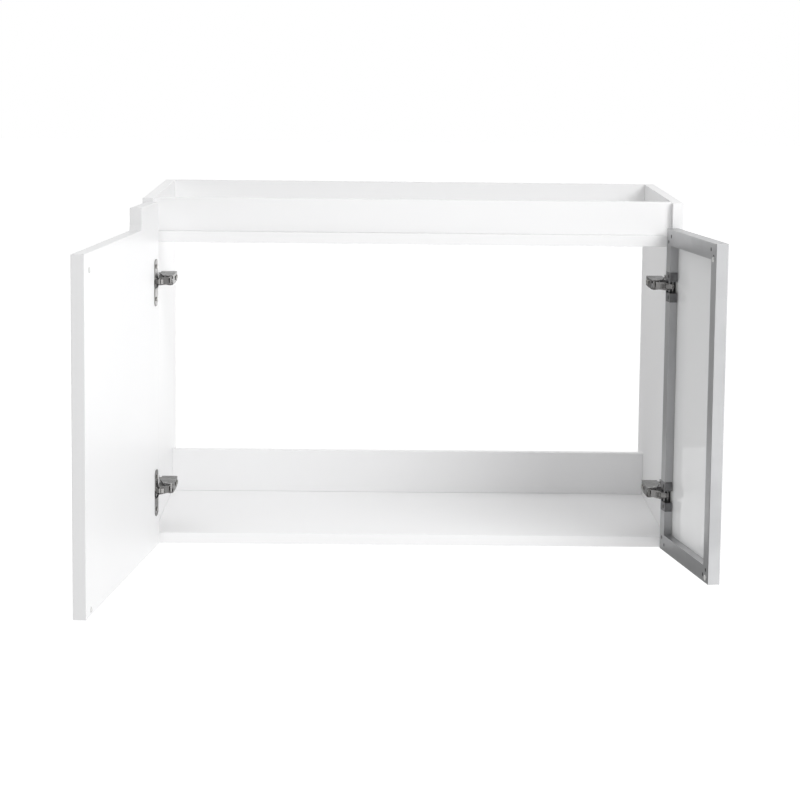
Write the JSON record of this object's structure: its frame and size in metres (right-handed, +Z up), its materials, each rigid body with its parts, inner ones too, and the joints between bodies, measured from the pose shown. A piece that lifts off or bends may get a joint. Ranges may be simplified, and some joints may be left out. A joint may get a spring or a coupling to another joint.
{
  "type": "wall-mounted vanity cabinet",
  "caption": "Wall-hung vanity cabinet: a white board carcass open at the top and back, with a wide board door and a narrow aluminium-framed glass door on concealed hinges.",
  "frame": {"origin": "midway between the two wall-screw holes, on the back face of the back top rail", "axes": "+Z up, +Y into the wall, +X to the cabinet's right as seen from the front"},
  "size_m": [0.8811, 0.9803, 0.518],
  "materials": {
    "white_board": "white gloss lacquer on board",
    "beech": "plain",
    "nickelled_steel": "bright nickel plate",
    "zinc_casting": "nickel-plated die casting",
    "pin_steel": "bright",
    "screw_steel": "zinc plate",
    "dark_screws": "black oxide",
    "satin_aluminium": "satin anodised",
    "white_glass": "pale back-painted glass",
    "clear_seal": "translucent soft plastic",
    "soft_bumper": "clear soft plastic"
  },
  "bodies": {
    "cabinet": {"left_side_panel": "white_board", "right_side_panel": "white_board", "bottom_panel": "white_board", "back_bottom_rail": "white_board", "back_top_rail": "white_board", "front_ledge": "white_board", "front_fascia": "white_board", "carcass_dowels": "beech", "left_lower_mounting_plate": "nickelled_steel", "left_lower_hinge_arm": "nickelled_steel", "left_upper_mounting_plate": "nickelled_steel", "left_upper_hinge_arm": "nickelled_steel", "left_arm_pins": "pin_steel", "left_plate_screws": "screw_steel", "left_adjusting_screws": "screw_steel", "right_lower_mounting_plate": "nickelled_steel", "right_lower_hinge_arm": "nickelled_steel", "right_upper_mounting_plate": "nickelled_steel", "right_upper_hinge_arm": "nickelled_steel", "right_arm_pins": "pin_steel", "right_plate_screws": "screw_steel", "right_adjusting_screws": "screw_steel"},
    "left_outer_links": {"left_lower_outer_link": "nickelled_steel", "left_upper_outer_link": "nickelled_steel"},
    "left_inner_links": {"left_lower_inner_link": "nickelled_steel", "left_upper_inner_link": "nickelled_steel"},
    "left_door": {"left_door": "white_board", "left_lower_hinge_cup": "nickelled_steel", "left_upper_hinge_cup": "nickelled_steel", "left_cup_pins": "pin_steel", "left_cup_screws": "screw_steel", "left_door_bumpers": "soft_bumper"},
    "right_outer_links": {"right_lower_outer_link": "nickelled_steel", "right_upper_outer_link": "nickelled_steel"},
    "right_inner_links": {"right_lower_inner_link": "nickelled_steel", "right_upper_inner_link": "nickelled_steel"},
    "right_door": {"right_door_hinge_stile": "satin_aluminium", "right_door_free_stile": "satin_aluminium", "right_door_top_rail": "satin_aluminium", "right_door_bottom_rail": "satin_aluminium", "right_door_glass": "white_glass", "right_door_gasket": "clear_seal", "corner_cleats": "zinc_casting", "corner_screws": "dark_screws", "right_lower_hinge_housing": "zinc_casting", "right_upper_hinge_housing": "zinc_casting", "right_cup_pins": "pin_steel", "right_housing_screws": "dark_screws", "right_door_bumpers": "soft_bumper"}
  },
  "joints": [
    {"name": "left_outer_link_pivot", "type": "hinge", "parent": "cabinet", "child": "left_outer_links", "pos_m": [-0.368, -0.4342, -0.23925], "axis": [0, 0, -1], "range_deg": [-0.7, 11]},
    {"name": "left_inner_link_pivot", "type": "hinge", "parent": "cabinet", "child": "left_inner_links", "pos_m": [-0.36, -0.441, -0.23925], "axis": [0, 0, -1], "range_deg": [-1.4, 26.6]},
    {"name": "left_door_hinge", "type": "hinge", "parent": "left_outer_links", "child": "left_door", "pos_m": [-0.38502, -0.46407, -0.23925], "axis": [0, 0, -1], "range_deg": [-106.45, 4.55]},
    {"name": "right_outer_link_pivot", "type": "hinge", "parent": "cabinet", "child": "right_outer_links", "pos_m": [0.368, -0.4342, -0.23925], "axis": [0, 0, 1], "range_deg": [-0.7, 11]},
    {"name": "right_inner_link_pivot", "type": "hinge", "parent": "cabinet", "child": "right_inner_links", "pos_m": [0.36, -0.441, -0.23925], "axis": [0, 0, 1], "range_deg": [-1.4, 26.6]},
    {"name": "right_door_hinge", "type": "hinge", "parent": "right_outer_links", "child": "right_door", "pos_m": [0.38486, -0.46416, -0.23925], "axis": [0, 0, 1], "range_deg": [-109.56, 1.44]}
  ],
  "couplings": [
    {"joint": "left_outer_link_pivot", "follows": "left_door_hinge", "ratio": -0.099099},
    {"joint": "left_inner_link_pivot", "follows": "left_door_hinge", "ratio": -0.24144},
    {"joint": "right_outer_link_pivot", "follows": "right_door_hinge", "ratio": -0.099099},
    {"joint": "right_inner_link_pivot", "follows": "right_door_hinge", "ratio": -0.24144}
  ]
}
